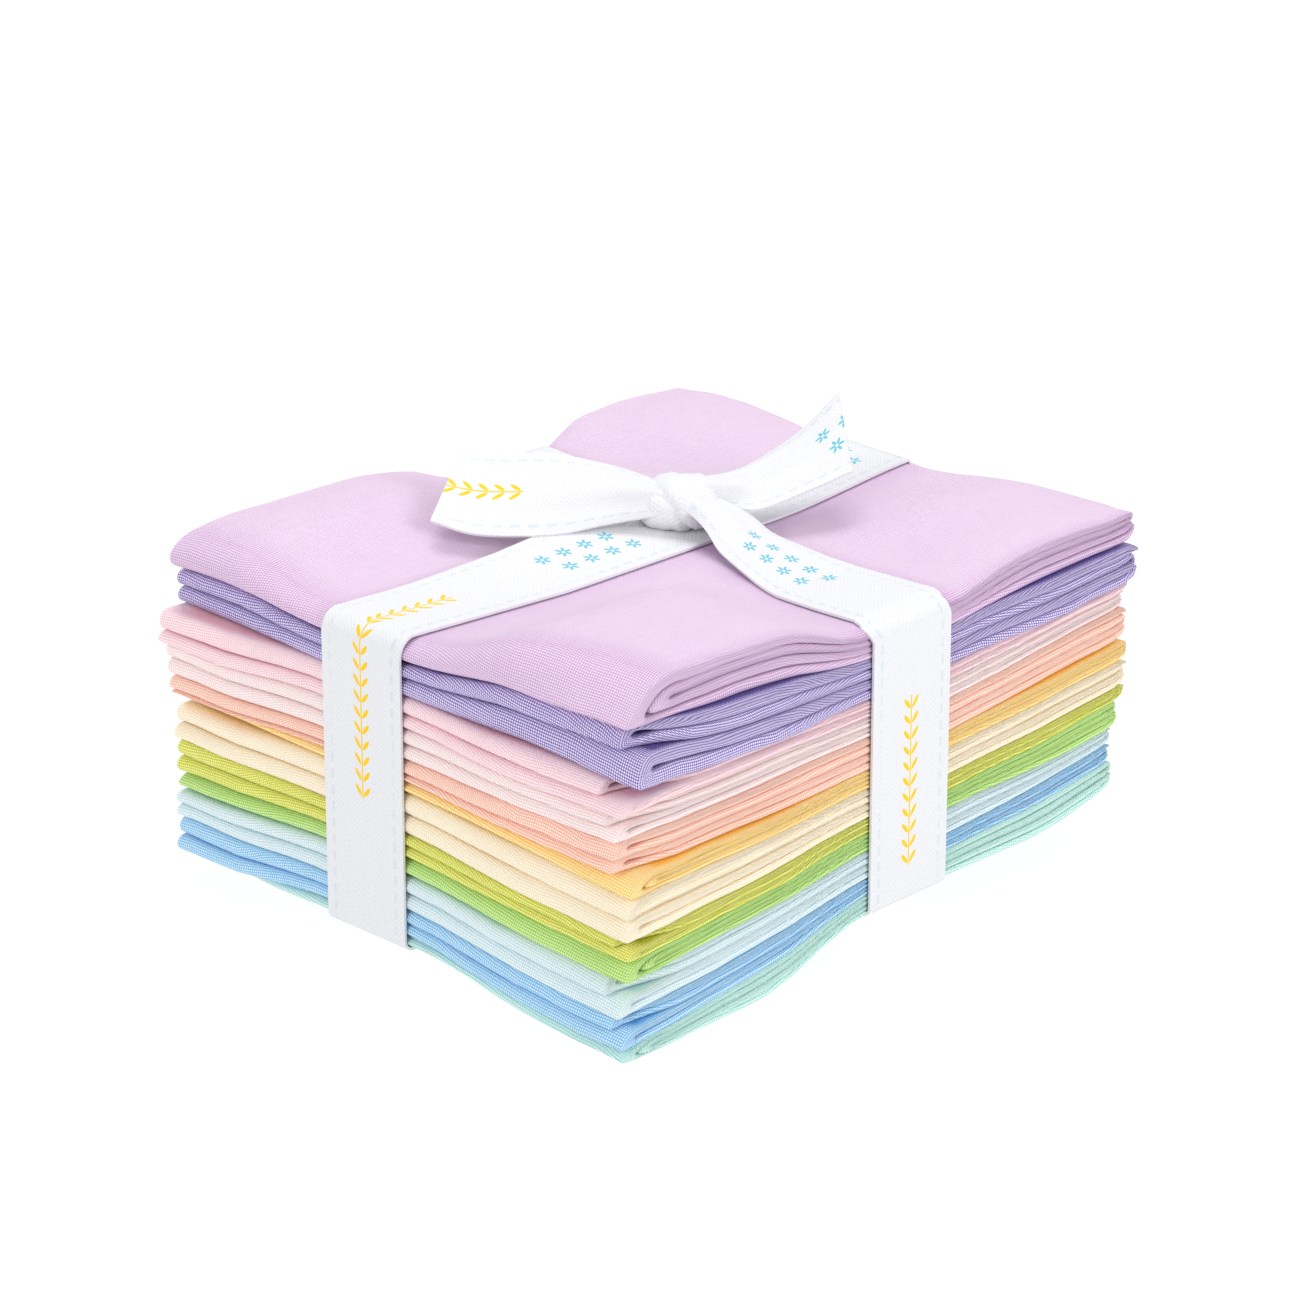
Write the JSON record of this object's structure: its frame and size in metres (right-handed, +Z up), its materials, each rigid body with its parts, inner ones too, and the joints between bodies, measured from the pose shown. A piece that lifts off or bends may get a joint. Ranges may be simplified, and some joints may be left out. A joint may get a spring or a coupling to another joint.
{
  "type": "tied stack of folded cotton fabric pieces",
  "caption": "Stack of folded plain cotton fabric pieces in pastel colours, tied both ways with white cotton tape knotted on top.",
  "frame": {"origin": "middle of the bounding box in plan, at the surface that the stack rests on", "axes": "+Z up; +X along the folded strips, from the rounded noses to the far end; +Y along the noses"},
  "size_m": [0.1372, 0.1164, 0.0806],
  "materials": {
    "mint_cotton": "mint cotton, plain weave, matt",
    "sky_blue_cotton": "sky blue cotton, plain weave, matt",
    "ice_blue_cotton": "ice blue cotton, plain weave, matt",
    "green_cotton": "apple green cotton, plain weave, matt",
    "chartreuse_cotton": "chartreuse cotton, plain weave, matt",
    "cream_cotton": "cream cotton, plain weave, matt",
    "yellow_cotton": "light yellow cotton, plain weave, matt",
    "peach_cotton": "peach cotton, plain weave, matt",
    "pale_pink_cotton": "pale pink cotton, plain weave, matt",
    "pink_cotton": "pink cotton, plain weave, matt",
    "purple_cotton": "purple cotton, plain weave, matt",
    "lilac_cotton": "lilac cotton, plain weave, matt",
    "white_tape": "white cotton herringbone tape, matt"
  },
  "bodies": {
    "root": {"mint_cloth": "mint_cotton", "sky_blue_cloth": "sky_blue_cotton", "ice_blue_cloth": "ice_blue_cotton", "green_cloth": "green_cotton", "chartreuse_cloth": "chartreuse_cotton", "cream_cloth": "cream_cotton", "yellow_cloth": "yellow_cotton", "peach_cloth": "peach_cotton", "pale_pink_cloth": "pale_pink_cotton", "pink_cloth": "pink_cotton", "purple_cloth": "purple_cotton", "lilac_cloth": "lilac_cotton", "long_tape": "white_tape", "short_tape": "white_tape", "knot": "white_tape", "left_tail": "white_tape", "right_tail": "white_tape"}
  },
  "joints": []
}
